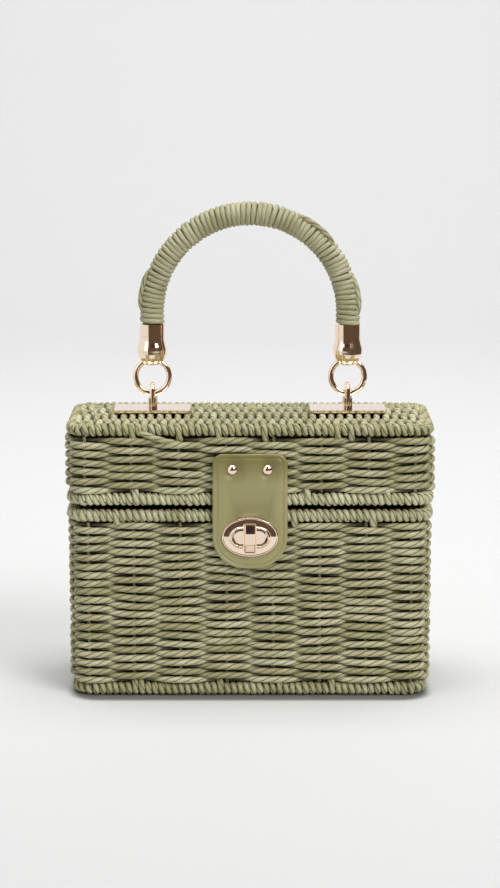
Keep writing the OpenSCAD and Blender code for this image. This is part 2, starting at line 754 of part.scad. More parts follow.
// Wrap of the handle: a ribbed sleeve along the same arch
module handle_wrap() {
    sides = 8;
    arch_l = PI * handle_half;
    total = 2 * leg_l + arch_l;
    turns = round(total / wrap_pitch);
    bore_steps = 32;
    bore_r = (core_r + touch) / cos(180 / sides);
    // Frame of a ring at distance s along the handle: middle x, middle z, outward x, outward z
    function place(s) =
        s < leg_l ? [-handle_half, arch_z - leg_l + s, -1, 0] :
        s > leg_l + arch_l ? [handle_half, arch_z - (s - leg_l - arch_l), 1, 0] :
        let (a = 180 - 180 * (s - leg_l) / arch_l)
            [handle_half * cos(a), arch_z + handle_half * sin(a), cos(a), sin(a)];
    function ring_at(s, r) = let (q = place(s)) [for (k = [0:sides - 1])
        let (u = r * cos(360 * (k + 0.5) / sides), v = r * sin(360 * (k + 0.5) / sides))
            [q[0] + q[2] * u, v, q[1] + q[3] * u]];
    outer = [for (i = [0:2 * turns]) each
        ring_at(total * i / (2 * turns), i % 2 == 0 ? handle_r - wrap_groove : handle_r)];
    bore = [for (i = [0:bore_steps]) each ring_at(total * i / bore_steps, bore_r)];
    n = 2 * turns;
    b = sides * (n + 1);
    e = b + sides * bore_steps;
    faces = [for (k = [0:sides - 1]) let (l = (k + 1) % sides) each concat(
        [for (i = [0:n - 1]) each
            quad(i * sides + k, (i + 1) * sides + k, (i + 1) * sides + l, i * sides + l)],
        [for (i = [0:bore_steps - 1]) each
            quad(b + i * sides + k, b + i * sides + l, b + (i + 1) * sides + l, b + (i + 1) * sides + k)],
        quad(k, l, b + l, b + k),
        quad(n * sides + k, e + k, e + l, n * sides + l))];
    color(cord_green) polyhedron(concat(outer, bore), faces);
}

body_wall();
body_rim();
body_rim_hoop();
base_panel();
base_border();
body_lining();
left_hinge_lashing();
right_hinge_lashing();
lock_base();
lock_washer();
turn_knob();
lid_wall();
lid_rim();
lid_rim_hoop();
lid_top_panel();
lid_top_border();
lid_lining();
closure_tab();
tab_rivets();
rivet_washers();
eyelet_plate();
eyelet_back();
left_handle_plate();
right_handle_plate();
left_ring();
right_ring();
handle_core();
handle_wrap();
left_end_cap();
right_end_cap();
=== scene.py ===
import json
import math

import bmesh
import bpy
import numpy as np
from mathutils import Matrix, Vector


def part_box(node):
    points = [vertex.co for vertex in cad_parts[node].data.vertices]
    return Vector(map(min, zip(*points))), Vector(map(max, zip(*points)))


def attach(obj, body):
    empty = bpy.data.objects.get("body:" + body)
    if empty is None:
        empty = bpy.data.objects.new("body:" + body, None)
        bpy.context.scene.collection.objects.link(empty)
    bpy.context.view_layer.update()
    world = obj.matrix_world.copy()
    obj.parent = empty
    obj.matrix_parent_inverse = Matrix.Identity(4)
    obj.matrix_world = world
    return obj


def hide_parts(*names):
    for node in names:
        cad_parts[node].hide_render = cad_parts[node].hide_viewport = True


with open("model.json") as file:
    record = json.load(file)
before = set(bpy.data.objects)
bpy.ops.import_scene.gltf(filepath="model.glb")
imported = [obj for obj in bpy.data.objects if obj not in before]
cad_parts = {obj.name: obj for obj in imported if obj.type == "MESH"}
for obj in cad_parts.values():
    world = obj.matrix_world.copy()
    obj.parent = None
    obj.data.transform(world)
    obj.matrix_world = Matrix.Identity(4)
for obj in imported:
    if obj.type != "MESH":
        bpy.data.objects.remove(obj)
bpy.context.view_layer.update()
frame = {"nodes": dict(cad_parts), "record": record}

# Units: the script is in metres, and sizes are written in millimetres
MM = 0.001
TAU = 2 * math.pi

# Places read from the frame
LID_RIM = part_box("lid_rim")
LID_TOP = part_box("lid_top_border")
BODY_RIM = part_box("body_rim")
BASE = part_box("base_border")
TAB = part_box("closure_tab")
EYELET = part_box("eyelet_plate")
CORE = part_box("handle_core")
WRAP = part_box("handle_wrap")

# Weave, as in the solids: columns of floats round the box, one row after another
CORNER_R = 14 * MM
COLUMNS = 22
ROW_PITCH = 2.6 * MM
CORD_R = 1.95 * MM
WEAVE_SWING = 1.9 * MM
BEHIND_SHARE = 0.68
BODY_TAPER = 0.4 * MM

# Twisted paper cord: its folds wind round it once in a lay
CORD_LAY = -19 * MM
CORD_FOLDS = 3
FOLD_POINTS = 4
FOLD_DEPTH = 0.16
CORD_STEP = 1.45 * MM

STRAIGHT_STEP = 3 * MM

# Stakes in the walls, and the deeper ones that fill the corners
STAKE_R = 1.0 * MM
CORNER_STAKE_DEPTH = 8 * MM

# Wrapped borders. A long turn reaches farther into the wall
TURN_PITCH = 3.75 * MM
TURN_CORD_R = 1.95 * MM
TURN_UPRIGHT = 0.65
TURN_STEPS = 16
LONG_TURN = 3.6 * MM
BUNDLE_R = 2.3 * MM

# Handle
HANDLE_R = 7.1 * MM
HANDLE_CORD_R = 1.52 * MM
HANDLE_PITCH = 2.9 * MM

rng = np.random.default_rng(11)


def node(tree, kind, inputs=None, **settings):
    """Adds a node, sets its settings, and sets or links its inputs."""
    made = tree.nodes.new(kind)
    for name, value in settings.items():
        setattr(made, name, value)
    for key, value in (inputs or {}).items():
        if isinstance(value, bpy.types.NodeSocket):
            tree.links.new(value, made.inputs[key])
        else:
            made.inputs[key].default_value = value
    return made


def linear(hex_colour):
    """A colour written as sRGB hex, as linear RGBA."""
    parts = [int(hex_colour[i:i + 2], 16) / 255 for i in (1, 3, 5)]
    return [p / 12.92 if p <= 0.04045 else ((p + 0.055) / 1.055) ** 2.4 for p in parts] + [1.0]


# Materials

def new_material(name):
    """A material with one Principled shader."""
    material = bpy.data.materials.new(name)
    material.use_nodes = True
    tree = material.node_tree
    tree.nodes.clear()
    shader = node(tree, "ShaderNodeBsdfPrincipled")
    node(tree, "ShaderNodeOutputMaterial", {"Surface": shader.outputs["BSDF"]})
    return material, tree, shader


def twisted_paper_cord():
    """Paper twisted into cord: matt and dry, pale on the crests of its folds, with painted shade in the
    valleys between them.
    """
    material, tree, shader = new_material("twisted_paper_cord")
    place = node(tree, "ShaderNodeTexCoord").outputs["Object"]
    groove = node(tree, "ShaderNodeAttribute", attribute_name="groove").outputs["Fac"]
    tone_and_painted_light = node(tree, "ShaderNodeAttribute", attribute_name="tone_and_painted_light").outputs["Fac"]
    # Fibres about 0.5 mm apart, and patches of dye about 12 mm across
    fibre = node(tree, "ShaderNodeTexNoise", {"Vector": place, "Scale": 1 / (0.5 * MM), "Detail": 2.0})
    patch = node(tree, "ShaderNodeTexNoise", {"Vector": place, "Scale": 1 / (12 * MM), "Detail": 1.0})
    shade = node(tree, "ShaderNodeMath", {0: fibre.outputs["Fac"], 1: patch.outputs["Fac"]}, operation="ADD")
    shade = node(tree, "ShaderNodeMath", {0: shade.outputs[0], 1: tone_and_painted_light}, operation="ADD")
    pale = node(tree, "ShaderNodeMapRange", {"Value": shade.outputs[0], "From Min": 0.75, "From Max": 2.25})
    paper = node(tree, "ShaderNodeValToRGB", {"Fac": pale.outputs[0]})
    paper.color_ramp.elements[0].color = linear("#98946A")
    paper.color_ramp.elements[1].color = linear("#EFEBCB")
    # Painted shade: the valleys between the folds are mixed towards dark olive
    fold = node(tree, "ShaderNodeMapRange", {"Value": groove, "From Min": 0.4, "From Max": 1.0})
    valley_shaded = node(tree, "ShaderNodeMix", {"Factor": fold.outputs[0], 6: paper.outputs["Color"],
                                           7: linear("#3A3403")}, data_type="RGBA")
    # Painted shade: cord that lies behind the others, and the stakes, wires and cores that show only in the
    # gaps, are mixed towards near-black; the handle's strand is darkened the same way all over
    behind = node(tree, "ShaderNodeAttribute", attribute_name="behind").outputs["Fac"]
    colour = node(tree, "ShaderNodeMix", {"Factor": behind, 6: valley_shaded.outputs[2], 7: linear("#1E1800")},
                  data_type="RGBA")
    bump = node(tree, "ShaderNodeBump", {"Strength": 0.35, "Distance": 0.15 * MM,
                                         "Height": fibre.outputs["Fac"]})
    shader.inputs["Roughness"].default_value = 0.62
    tree.links.new(colour.outputs[2], shader.inputs["Base Color"])
    tree.links.new(bump.outputs["Normal"], shader.inputs["Normal"])
    return material


def coated_leather():
    """Smooth coated leather: even in colour, softly shining, finely grained, and dented round the rivets,
    with painted shade along its top edge.
    """
    material, tree, shader = new_material("coated_leather")
    place = node(tree, "ShaderNodeTexCoord").outputs["Object"]
    # Grain of about 0.6 mm, drawn about twice as coarse as real so that it shows
    grain = node(tree, "ShaderNodeTexVoronoi", {"Vector": place, "Scale": 1 / (0.6 * MM)})
    cloud = node(tree, "ShaderNodeTexNoise", {"Vector": place, "Scale": 1 / (20 * MM), "Detail": 2.0})
    colour = node(tree, "ShaderNodeMix", {"Factor": cloud.outputs["Fac"], 6: linear("#928C58"),
                                          7: linear("#A09A6D")}, data_type="RGBA")
    # Painted shade: the colour darkens towards the top edge, over about 14 mm, where the tab leans back from
    # the light
    axes = node(tree, "ShaderNodeSeparateXYZ", {"Vector": place}).outputs
    deep = node(tree, "ShaderNodeMapRange", {"Value": axes["Z"], "From Min": TAB[1][2] - 18 * MM,
                                             "From Max": TAB[1][2] - 4 * MM})
    colour = node(tree, "ShaderNodeMix", {"Factor": deep.outputs[0], 6: colour.outputs[2],
                                          7: linear("#7C743F")}, data_type="RGBA")
    # A bell-shaped dent round each rivet, out to 10 mm from its middle
    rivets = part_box("tab_rivets")
    rivet_z = (rivets[0][2] + rivets[1][2]) / 2
    rivet_x = rivets[1][0] - (rivets[1][2] - rivets[0][2]) / 2
    side = node(tree, "ShaderNodeMath", {0: axes["X"]}, operation="ABSOLUTE")
    across = node(tree, "ShaderNodeMath", {0: side.outputs[0], 1: rivet_x}, operation="SUBTRACT")
    up = node(tree, "ShaderNodeMath", {0: axes["Z"], 1: rivet_z}, operation="SUBTRACT")
    offset = node(tree, "ShaderNodeCombineXYZ", {"X": across.outputs[0], "Z": up.outputs[0]})
    far = node(tree, "ShaderNodeVectorMath", {0: offset.outputs[0]}, operation="LENGTH")
    bell = node(tree, "ShaderNodeMapRange", {"Value": far.outputs["Value"], "From Min": 10 * MM,
                                             "From Max": 0.0}, interpolation_type="SMOOTHERSTEP")
    dent = node(tree, "ShaderNodeBump", {"Strength": 1.0, "Distance": 3.0 * MM, "Height": bell.outputs[0]},
                invert=True)
    bump = node(tree, "ShaderNodeBump", {"Strength": 0.12, "Distance": 0.05 * MM,
                                         "Height": grain.outputs["Distance"],
                                         "Normal": dent.outputs["Normal"]})
    shader.inputs["Roughness"].default_value = 0.36
    shader.inputs["Coat Weight"].default_value = 0.25
    shader.inputs["Coat Roughness"].default_value = 0.3
    tree.links.new(colour.outputs[2], shader.inputs["Base Color"])
    tree.links.new(bump.outputs["Normal"], shader.inputs["Normal"])
    return material


def pale_gold_plate():
    """Zinc alloy plated in pale gold and polished: it mirrors the room, softened a little by handling."""
    material, tree, shader = new_material("pale_gold_plate")
    place = node(tree, "ShaderNodeTexCoord").outputs["Object"]
    # Handling marks a few millimetres across
    smear = node(tree, "ShaderNodeTexNoise", {"Vector": place, "Scale": 1 / (4 * MM), "Detail": 3.0})
    rough = node(tree, "ShaderNodeMapRange", {"Value": smear.outputs["Fac"], "To Min": 0.03, "To Max": 0.1})
    shader.inputs["Base Color"].default_value = linear("#FCE6D0")
    shader.inputs["Metallic"].default_value = 1.0
    tree.links.new(rough.outputs[0], shader.inputs["Roughness"])
    return material


def lining_cloth():
    """Woven cloth: dull and dark, with slanting ribs."""
    material, tree, shader = new_material("lining_cloth")
    place = node(tree, "ShaderNodeTexCoord").outputs["Object"]
    # A wave of this scale has ribs about 5 mm apart
    rib = node(tree, "ShaderNodeTexWave", {"Vector": place, "Scale": 1 / (14 * MM), "Distortion": 0.6},
               bands_direction="DIAGONAL")
    colour = node(tree, "ShaderNodeMix", {"Factor": rib.outputs["Fac"], 6: linear("#2A2400"),
                                          7: linear("#3A340A")}, data_type="RGBA")
    bump = node(tree, "ShaderNodeBump", {"Strength": 0.3, "Distance": 0.1 * MM, "Height": rib.outputs["Fac"]})
    shader.inputs["Roughness"].default_value = 0.9
    tree.links.new(colour.outputs[2], shader.inputs["Base Color"])
    tree.links.new(bump.outputs["Normal"], shader.inputs["Normal"])
    return material


def drawn_steel():
    """Drawn wire: grey, with fine marks that blur its shine."""
    material, tree, shader = new_material("drawn_steel")
    place = node(tree, "ShaderNodeTexCoord").outputs["Object"]
    mark = node(tree, "ShaderNodeTexNoise", {"Vector": place, "Scale": 1 / (0.8 * MM), "Detail": 2.0})
    rough = node(tree, "ShaderNodeMapRange", {"Value": mark.outputs["Fac"], "To Min": 0.3, "To Max": 0.5})
    shader.inputs["Base Color"].default_value = linear("#8C8B88")
    shader.inputs["Metallic"].default_value = 1.0
    tree.links.new(rough.outputs[0], shader.inputs["Roughness"])
    return material


CORD = twisted_paper_cord()
LEATHER = coated_leather()
GOLD = pale_gold_plate()
CLOTH = lining_cloth()
STEEL = drawn_steel()


# Geometry Nodes trees

def new_tree(name, inputs):
    """A tree that takes a mesh and the named inputs."""
    tree = bpy.data.node_groups.new(name, "GeometryNodeTree")
    tree.interface.new_socket("Geometry", in_out="INPUT", socket_type="NodeSocketGeometry")
    for label, kind in inputs:
        tree.interface.new_socket(label, in_out="INPUT", socket_type="NodeSocket" + kind)
    tree.interface.new_socket("Geometry", in_out="OUTPUT", socket_type="NodeSocketGeometry")
    return tree, node(tree, "NodeGroupInput").outputs


def finish_tree(tree, mesh, material):
    """Ends a tree with plain, smooth geometry in the material."""
    smooth = node(tree, "GeometryNodeSetShadeSmooth", {"Geometry": mesh})
    real = node(tree, "GeometryNodeRealizeInstances", {"Geometry": smooth.outputs[0]})
    painted = node(tree, "GeometryNodeSetMaterial", {"Geometry": real.outputs[0], "Material": material})
    node(tree, "NodeGroupOutput", {"Geometry": painted.outputs[0]})
    return tree


def cord_tree():
    """Sweeps a folded round section along each route, turned as the cord is twisted."""
    tree, given = new_tree("twisted_cord", [("Lay", "Float"), ("Folds", "Int"), ("Fold Depth", "Float"),
                                            ("Crease Shade", "Float"), ("Step", "Float"), ("Material", "Material")])
    curve = node(tree, "GeometryNodeMeshToCurve", {"Mesh": given["Geometry"]})
    curve = node(tree, "GeometryNodeResampleCurve", {"Curve": curve.outputs[0], "Length": given["Step"]},
                 mode="LENGTH")
    along = node(tree, "GeometryNodeSplineParameter").outputs["Length"]
    turns = node(tree, "ShaderNodeMath", {0: along, 1: given["Lay"]}, operation="DIVIDE")
    tilt = node(tree, "ShaderNodeMath", {0: turns.outputs[0], 1: TAU}, operation="MULTIPLY")
    curve = node(tree, "GeometryNodeSetCurveTilt", {"Curve": curve.outputs[0], "Tilt": tilt.outputs[0]})
    points = node(tree, "ShaderNodeMath", {0: given["Folds"], 1: float(FOLD_POINTS)}, operation="MULTIPLY")
    section = node(tree, "GeometryNodeCurvePrimitiveCircle", {"Resolution": points.outputs[0], "Radius": 1.0})
    # The first point of each fold lies in a valley
    index = node(tree, "GeometryNodeInputIndex").outputs[0]
    step = node(tree, "ShaderNodeMath", {0: index, 1: float(FOLD_POINTS)}, operation="MODULO")
    valley = node(tree, "ShaderNodeMath", {0: step.outputs[0], 1: 0.5}, operation="LESS_THAN")
    dip = node(tree, "ShaderNodeMath", {0: valley.outputs[0], 1: given["Fold Depth"]}, operation="MULTIPLY")
    size = node(tree, "ShaderNodeMath", {0: 1.0, 1: dip.outputs[0]}, operation="SUBTRACT")
    here = node(tree, "GeometryNodeInputPosition").outputs[0]
    place = node(tree, "ShaderNodeVectorMath", {"Vector": here, "Scale": size.outputs[0]}, operation="SCALE")
    # The valley points carry the painted shade of the creases
    crease_shade = node(tree, "ShaderNodeMath", {0: valley.outputs[0], 1: given["Crease Shade"]}, operation="MULTIPLY")
    marked = node(tree, "GeometryNodeStoreNamedAttribute",
                  {"Geometry": section.outputs["Curve"], "Name": "groove", "Value": crease_shade.outputs[0]},
                  data_type="FLOAT", domain="POINT")
    section = node(tree, "GeometryNodeSetPosition",
                   {"Geometry": marked.outputs[0], "Position": place.outputs[0]})
    radius = node(tree, "GeometryNodeInputNamedAttribute", {"Name": "cord_radius"}, data_type="FLOAT")
    swept = node(tree, "GeometryNodeCurveToMesh",
                 {"Curve": curve.outputs[0], "Profile Curve": section.outputs[0],
                  "Scale": radius.outputs["Attribute"], "Fill Caps": True})
    return finish_tree(tree, swept.outputs[0], given["Material"])


CORD_TREE = cord_tree()


# Routes: a route is (points, radius at each point, whether it is closed, how far it is mixed towards
# near-black: painted shade where it lies behind the others or shows only in gaps, and a plain darkening on
# the handle)

def route_object(name, routes, tone_and_painted_light):
    """A mesh of edges along the routes, with the attributes that the trees read."""
    points, edges, sizes, tones, darkening_values = [], [], [], [], []
    for line, size, closed, behind in routes:
        first = len(points)
        n = len(line)
        points += [tuple(p) for p in line]
        edges += [(first + i, first + i + 1) for i in range(n - 1)]
        if closed:
            edges.append((first + n - 1, first))
        sizes += list(np.broadcast_to(size, n))
        tones += [tone_and_painted_light + rng.uniform(-0.25, 0.25)] * n
        darkening_values += list(np.broadcast_to(behind, n))
    mesh = bpy.data.meshes.new(name + "_routes")
    mesh.from_pydata(points, edges, [])
    mesh.attributes.new("cord_radius", "FLOAT", "POINT").data.foreach_set("value", sizes)
    mesh.attributes.new("tone_and_painted_light", "FLOAT", "POINT").data.foreach_set("value", tones)
    mesh.attributes.new("behind", "FLOAT", "POINT").data.foreach_set("value", darkening_values)
    obj = bpy.data.objects.new(name, mesh)
    bpy.context.collection.objects.link(obj)
    return obj


def turn_outward(mesh):
    """Points a closed mesh's faces outwards."""
    shape = bmesh.new()
    shape.from_mesh(mesh)
    if shape.calc_volume(signed=True) < 0:
        bmesh.ops.reverse_faces(shape, faces=shape.faces)
    shape.to_mesh(mesh)
    shape.free()


def grown(name, routes, tree, settings, tone_and_painted_light):
    """Runs a tree over the routes and keeps the result as a plain mesh."""
    obj = route_object(name, routes, tone_and_painted_light)
    modifier = obj.modifiers.new("grow", "NODES")
    modifier.node_group = tree
    names = {s.name: s.identifier for s in tree.interface.items_tree if s.in_out == "INPUT"}
    for label, value in settings.items():
        modifier[names[label]] = value
    evaluated = obj.evaluated_get(bpy.context.evaluated_depsgraph_get())
    mesh = bpy.data.meshes.new_from_object(evaluated)
    obj.modifiers.remove(modifier)
    routes_mesh = obj.data
    obj.data = mesh
    bpy.data.meshes.remove(routes_mesh)
    mesh.name = name
    turn_outward(mesh)
    return obj


def placed(obj, body, replaces=()):
    """Sets the body that a piece rides on, and the nodes that it stands for."""
    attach(obj, body)
    if replaces:
        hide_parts(*replaces)
    return obj


def cords(name, routes, body, replaces=(), step=CORD_STEP, fold=FOLD_DEPTH, crease_shade=1.0, tone_and_painted_light=0.0):
    """A piece of twisted cords along the routes. tone makes it paler, which on the wrapped rims is painted
    light; crease sets how dark the painted shade in the folds' valleys is.
    """
    settings = {"Lay": CORD_LAY, "Folds": CORD_FOLDS, "Fold Depth": fold, "Crease Shade": crease_shade, "Step": step,
                "Material": CORD}
    return placed(grown(name, routes, CORD_TREE, settings, tone_and_painted_light), body, replaces)


def plan(u, spans, hx, hy, r):
    """Points and outward directions at stations u round a rectangle with round corners, in eight spans."""
    sx, sy = hx - r, hy - r
    lines = [((-sx, -hy), (sx, -hy)), ((hx, -sy), (hx, sy)), ((sx, hy), (-sx, hy)), ((-hx, sy), (-hx, -sy))]
    centres = [(sx, -sy), (sx, sy), (-sx, sy), (-sx, -sy)]
    u = np.mod(u, sum(spans))
    point, out = np.zeros((len(u), 2)), np.zeros((len(u), 2))
    start = 0.0
    for i, span in enumerate(spans):
        here = (u >= start) & (u < start + span)
        t = ((u[here] - start) / span)[:, None]
        side = i // 2
        if i % 2 == 0:
            a, b = np.array(lines[side][0]), np.array(lines[side][1])
            point[here] = a + (b - a) * t
            angle = -TAU / 4 + side * TAU / 4
            out[here] = [math.cos(angle), math.sin(angle)]
        else:
            angle = (-TAU / 4 + side * TAU / 4 + t * TAU / 4)[:, 0]
            out[here] = np.stack([np.cos(angle), np.sin(angle)], 1)
            point[here] = np.array(centres[side]) + r * out[here]
        start += span
    return point, out


def length_spans(hx, hy, r):
    """Lengths of the sides and corners by turns, from the front round to the right."""
    return [2 * (hx - r), TAU / 4 * r, 2 * (hy - r), TAU / 4 * r] * 2


def widened(box, across, deep):
    """A box made wider at both sides, and deeper at the front and back."""
    more = np.array([across, deep, 0])
    return np.array(box[0]) - more, np.array(box[1]) + more


def weave_plan(u, crests):
    """Points and outward directions at the weave's crests, u columns round from the front's middle."""
    hx, hy, _ = crests[1]
    spans = length_spans(hx, hy, CORNER_R)
    return plan(hx - CORNER_R + u / COLUMNS * sum(spans), spans, hx, hy, CORNER_R)


def lens(swing):
    """Share of the cord's full radius: full in front, pressed thin at the change-over, thin behind."""
    return BEHIND_SHARE + (1 - BEHIND_SHARE) * np.clip(swing, 0, 1) ** 0.5


def behind_shade(swing):
    """How much painted shade a cord gets for lying behind its neighbours, from 0 in front to 0.95 at most."""
    return 0.95 * np.clip(-swing, 0, 1) ** 0.4


def weave_rows(crests, z0, z1, taper):
    """Rows of cord that pass in front of and behind the stakes by turns."""
    rows = 2 * round((z1 - z0) / ROW_PITCH / 2)
    pitch = (z1 - z0) / rows
    ring = np.linspace(0, COLUMNS, COLUMNS * 14, endpoint=False) - COLUMNS / 2 + 0.5
    wander = rng.uniform(0, TAU, 4)
    routes = []
    for j in range(rows):
        # Each ring of cord begins and ends behind a stake near the middle of the back
        u = ring + j % 2
        swing = np.cos(math.pi * (u - 0.5 - j))
        swing = np.sign(swing) * np.abs(swing) ** 0.75
        depth = CORD_R + WEAVE_SWING * (1 - swing) + taper * (1 - (j + 0.5) / rows)
        depth += 0.18 * MM * np.sin(u * 1.7 + rng.uniform(0, TAU))
        point, out = weave_plan(u, crests)
        point = point - out * depth[:, None]
        ease = math.sin(math.pi * (j + 0.5) / rows)
        drift = 0.55 * MM * ease * np.sin(TAU * u / COLUMNS * 5 + wander[0] + 0.35 * j)
        drift += 0.35 * MM * ease * np.sin(TAU * u / COLUMNS * 11 + wander[1] - 0.2 * j)
        drift += 0.22 * MM * np.sin(TAU * u / COLUMNS * rng.integers(6, 16) + rng.uniform(0, TAU))
        z = z0 + (j + 0.5) * pitch + drift
        size = CORD_R * lens(swing) * rng.uniform(0.95, 1.05)
        routes.append((np.column_stack([point, z]), size, True, behind_shade(swing)))
    return routes


def stakes(crests, z0, z1, taper, stations=np.arange(COLUMNS) + 0.5, depth=CORD_R + WEAVE_SWING):
    """The upright that each column of floats passes round."""
    top, out = weave_plan(stations, crests)
    routes = []
    for p, n in zip(top, out):
        high = p - n * depth
        low = high - n * taper
        t = np.linspace(0, 1, 12)[:, None]
        line = np.column_stack([low + (high - low) * t, z0 + (z1 - z0) * t[:, 0]])
        # Painted shade: the stakes show only in the gaps and are drawn more than half-way towards near-black
        routes.append((line, STAKE_R, False, 0.55))
    return routes


def corner_stations(crests):
    """Where the stakes stand that fill the corners behind the weave."""
    hx, hy, _ = crests[1]
    spans = np.array(length_spans(hx, hy, CORNER_R))
    ends = np.cumsum(spans)
    places = np.array([ends[i] - share * spans[i] for i in (1, 3, 5, 7) for share in (0.22, 0.5, 0.78)])
    return (places - hx + CORNER_R) / ends[-1] * COLUMNS


def wrapped_border(outside, long_turns, up, lap=0.0, cord_r=TURN_CORD_R, dark=0.45):
    """Turns of cord round a border. long_turns are places along the front, in mm from its middle, where
    a turn reaches past the border into the wall, upwards if up is 1. lap is how much farther in the turns
    reach than a round turn would, and dark is how much painted shade darkens the core where it shows between
    them."""
    hx, hy = outside[1][0], outside[1][1]
    roll_r = (outside[1][2] - outside[0][2]) / 2
    z = (outside[1][2] + outside[0][2]) / 2
    hx, hy, r = hx - roll_r, hy - roll_r, CORNER_R - roll_r
    spans = length_spans(hx, hy, r)
    around = sum(spans)
    turns = round(around / TURN_PITCH)
    t = np.arange(turns * TURN_STEPS) / TURN_STEPS
    turn = np.floor(t).astype(int)
    slip = rng.normal(0, 0.035, turns)
    lift = rng.normal(0, 0.09 * MM, turns)
    reach = np.zeros(turns)
    for x in long_turns:
        reach[round((x * MM + hx - r - around / 2) / (around / turns)) % turns] = LONG_TURN
    # A turn stands nearly upright outside and makes its way along the border inside
    along = t - TURN_UPRIGHT * np.sin(TAU * t) / TAU
    u = (along + slip[turn]) / turns * around + around / 2
    core_u = np.linspace(0, around, 240, endpoint=False)
    core, _ = plan(core_u, spans, hx, hy, r)
    point, out = plan(u, spans, hx, hy, r)
    angle = -TAU * (t % 1)
    loop = roll_r - cord_r + lift[turn]
    across = loop * np.cos(angle) + lap * out[:, 1] ** 4 * np.clip(np.cos(angle), -1, 0)
    rise = loop * np.sin(angle)
    rise = rise + up * reach[turn] * np.clip(up * np.sin(angle), 0, 1)
    line = np.column_stack([point + out * across[:, None], z + rise])
    wrap = (line, cord_r * (1 + 0.05 * np.sin(TAU * t / 7.3)), True, 0.0)
    bundle = (np.column_stack([core, np.full(len(core), z)]), BUNDLE_R, True, dark)
    return [wrap, bundle]


def panel_cords(hx, hy, r, z_crest, swing, pitch, wire_pitch, cord_r, face, bow=0.0, corner_reach=0.0):
    """Cords from front to back of a panel, over and under the wires that run across. face is 1 for a top
    and -1 for a base. corner_reach is how much farther the cords near the panel's ends go, to fill the
    corners."""
    count = round(2 * hx / pitch)
    routes = []
    for i in range(count):
        x = -hx + (i + 0.5) * 2 * hx / count
        past = abs(x) - (hx - r)
        reach = hy - (r - math.sqrt(max(r * r - past * past, 0)) if past > 0 else 0)
        reach += corner_reach * min(max((abs(x) - hx + 14 * MM) / (8 * MM), 0), 1)
        y = np.linspace(-reach, reach, 64)
        wave = np.cos(math.pi * (y / wire_pitch + 0.5 + i))
        wave = np.sign(wave) * np.abs(wave) ** 0.75
        z = z_crest - face * (cord_r + swing * (1 - wave))
        z = z + bow * (1 - (x / hx) ** 8) * (1 - (y / hy) ** 2)
        x_line = x + 0.25 * MM * np.sin(y / (9 * MM) + rng.uniform(0, TAU))
        size = cord_r * lens(wave) * rng.uniform(0.96, 1.04)
        routes.append((np.column_stack([x_line, y, z]), size, False, behind_shade(wave)))
    return routes


def panel_wires(hx, hy, z, wire_pitch, size, bow=0.0):
    """The wires across a panel, between its cords."""
    count = int(hy / wire_pitch)
    x = np.linspace(-hx + 6 * MM, hx - 6 * MM, 30)
    routes = []
    for k in range(-count, count + 1):
        y = k * wire_pitch
        rise = bow * (1 - (x / hx) ** 8) * (1 - (y / hy) ** 2)
        # Painted shade: the wires show only between the cords and are drawn half-way towards near-black
        routes.append((np.column_stack([x, np.full(30, y), z + rise]), size, False, 0.5))
    return routes


# Woven walls, with their stakes
LID_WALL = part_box("lid_wall")
BODY_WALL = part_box("body_wall")
# The weave bulges a little past the rims, as in the photo
LID_CREST = widened(LID_RIM, 1.0 * MM, 0.2 * MM)
BODY_CREST = widened(BODY_RIM, 0.9 * MM, 0.6 * MM)
body_rows = weave_rows(BODY_CREST, BODY_WALL[0][2], BODY_WALL[1][2] - 0.6 * MM, BODY_TAPER)
half = len(body_rows) // 2
cords("body_weave_lower", body_rows[:half], "box", ["body_wall"])
cords("body_weave_upper", body_rows[half:], "box")
cords("body_stakes", stakes(BODY_CREST, BODY_WALL[0][2], BODY_WALL[1][2], BODY_TAPER), "box",
      step=STRAIGHT_STEP)
cords("lid_weave", weave_rows(LID_CREST, LID_WALL[0][2], LID_WALL[1][2] - 1.1 * MM, 0.0), "lid", ["lid_wall"])
cords("lid_stakes", stakes(LID_CREST, LID_WALL[0][2], LID_WALL[1][2], 0.0), "lid", step=STRAIGHT_STEP)

# Wrapped borders
# Painted light: the rims' turns are drawn paler than the same cord elsewhere, and the base's turns a little
# paler
cords("body_rim_wrap", wrapped_border(widened(BODY_RIM, 1.5 * MM, 0.8 * MM), (-76, 25, 69), -1),
      "box", ["body_rim"], tone_and_painted_light=0.35)
cords("lid_rim_wrap", wrapped_border(LID_RIM, (-69, 30, 76), 1), "lid", ["lid_rim"], tone_and_painted_light=0.35)
cords("lid_top_wrap", wrapped_border(LID_TOP, (-67, -40, -16, 8, 48, 58), -1, lap=10 * MM, cord_r=1.75 * MM,
                                     dark=0.9), "lid", ["lid_top_border"])
cords("base_wrap", wrapped_border(BASE, (-71, -67, -21, 15, 44), 1, cord_r=1.85 * MM, dark=0.85),
      "box", ["base_border"], tone_and_painted_light=0.1)


def loose_cord():
    """A cord's end that comes out of the lid's top border and slants down into the first row."""
    t = np.linspace(0, 1, 20)
    x = (-64 + 24 * t) * MM
    z = LID_TOP[0][2] + (3.4 - 7.4 * t - 0.8 * np.sin(TAU * t / 2)) * MM
    y = LID_TOP[0][1] + (3.2 - 2.6 * np.sin(math.pi * np.clip(t * 1.05, 0, 1)) ** 0.6) * MM
    return [(np.column_stack([x, y, z]), 1.75 * MM, False, 0.0)]


cords("lid_loose_cord", loose_cord(), "lid")

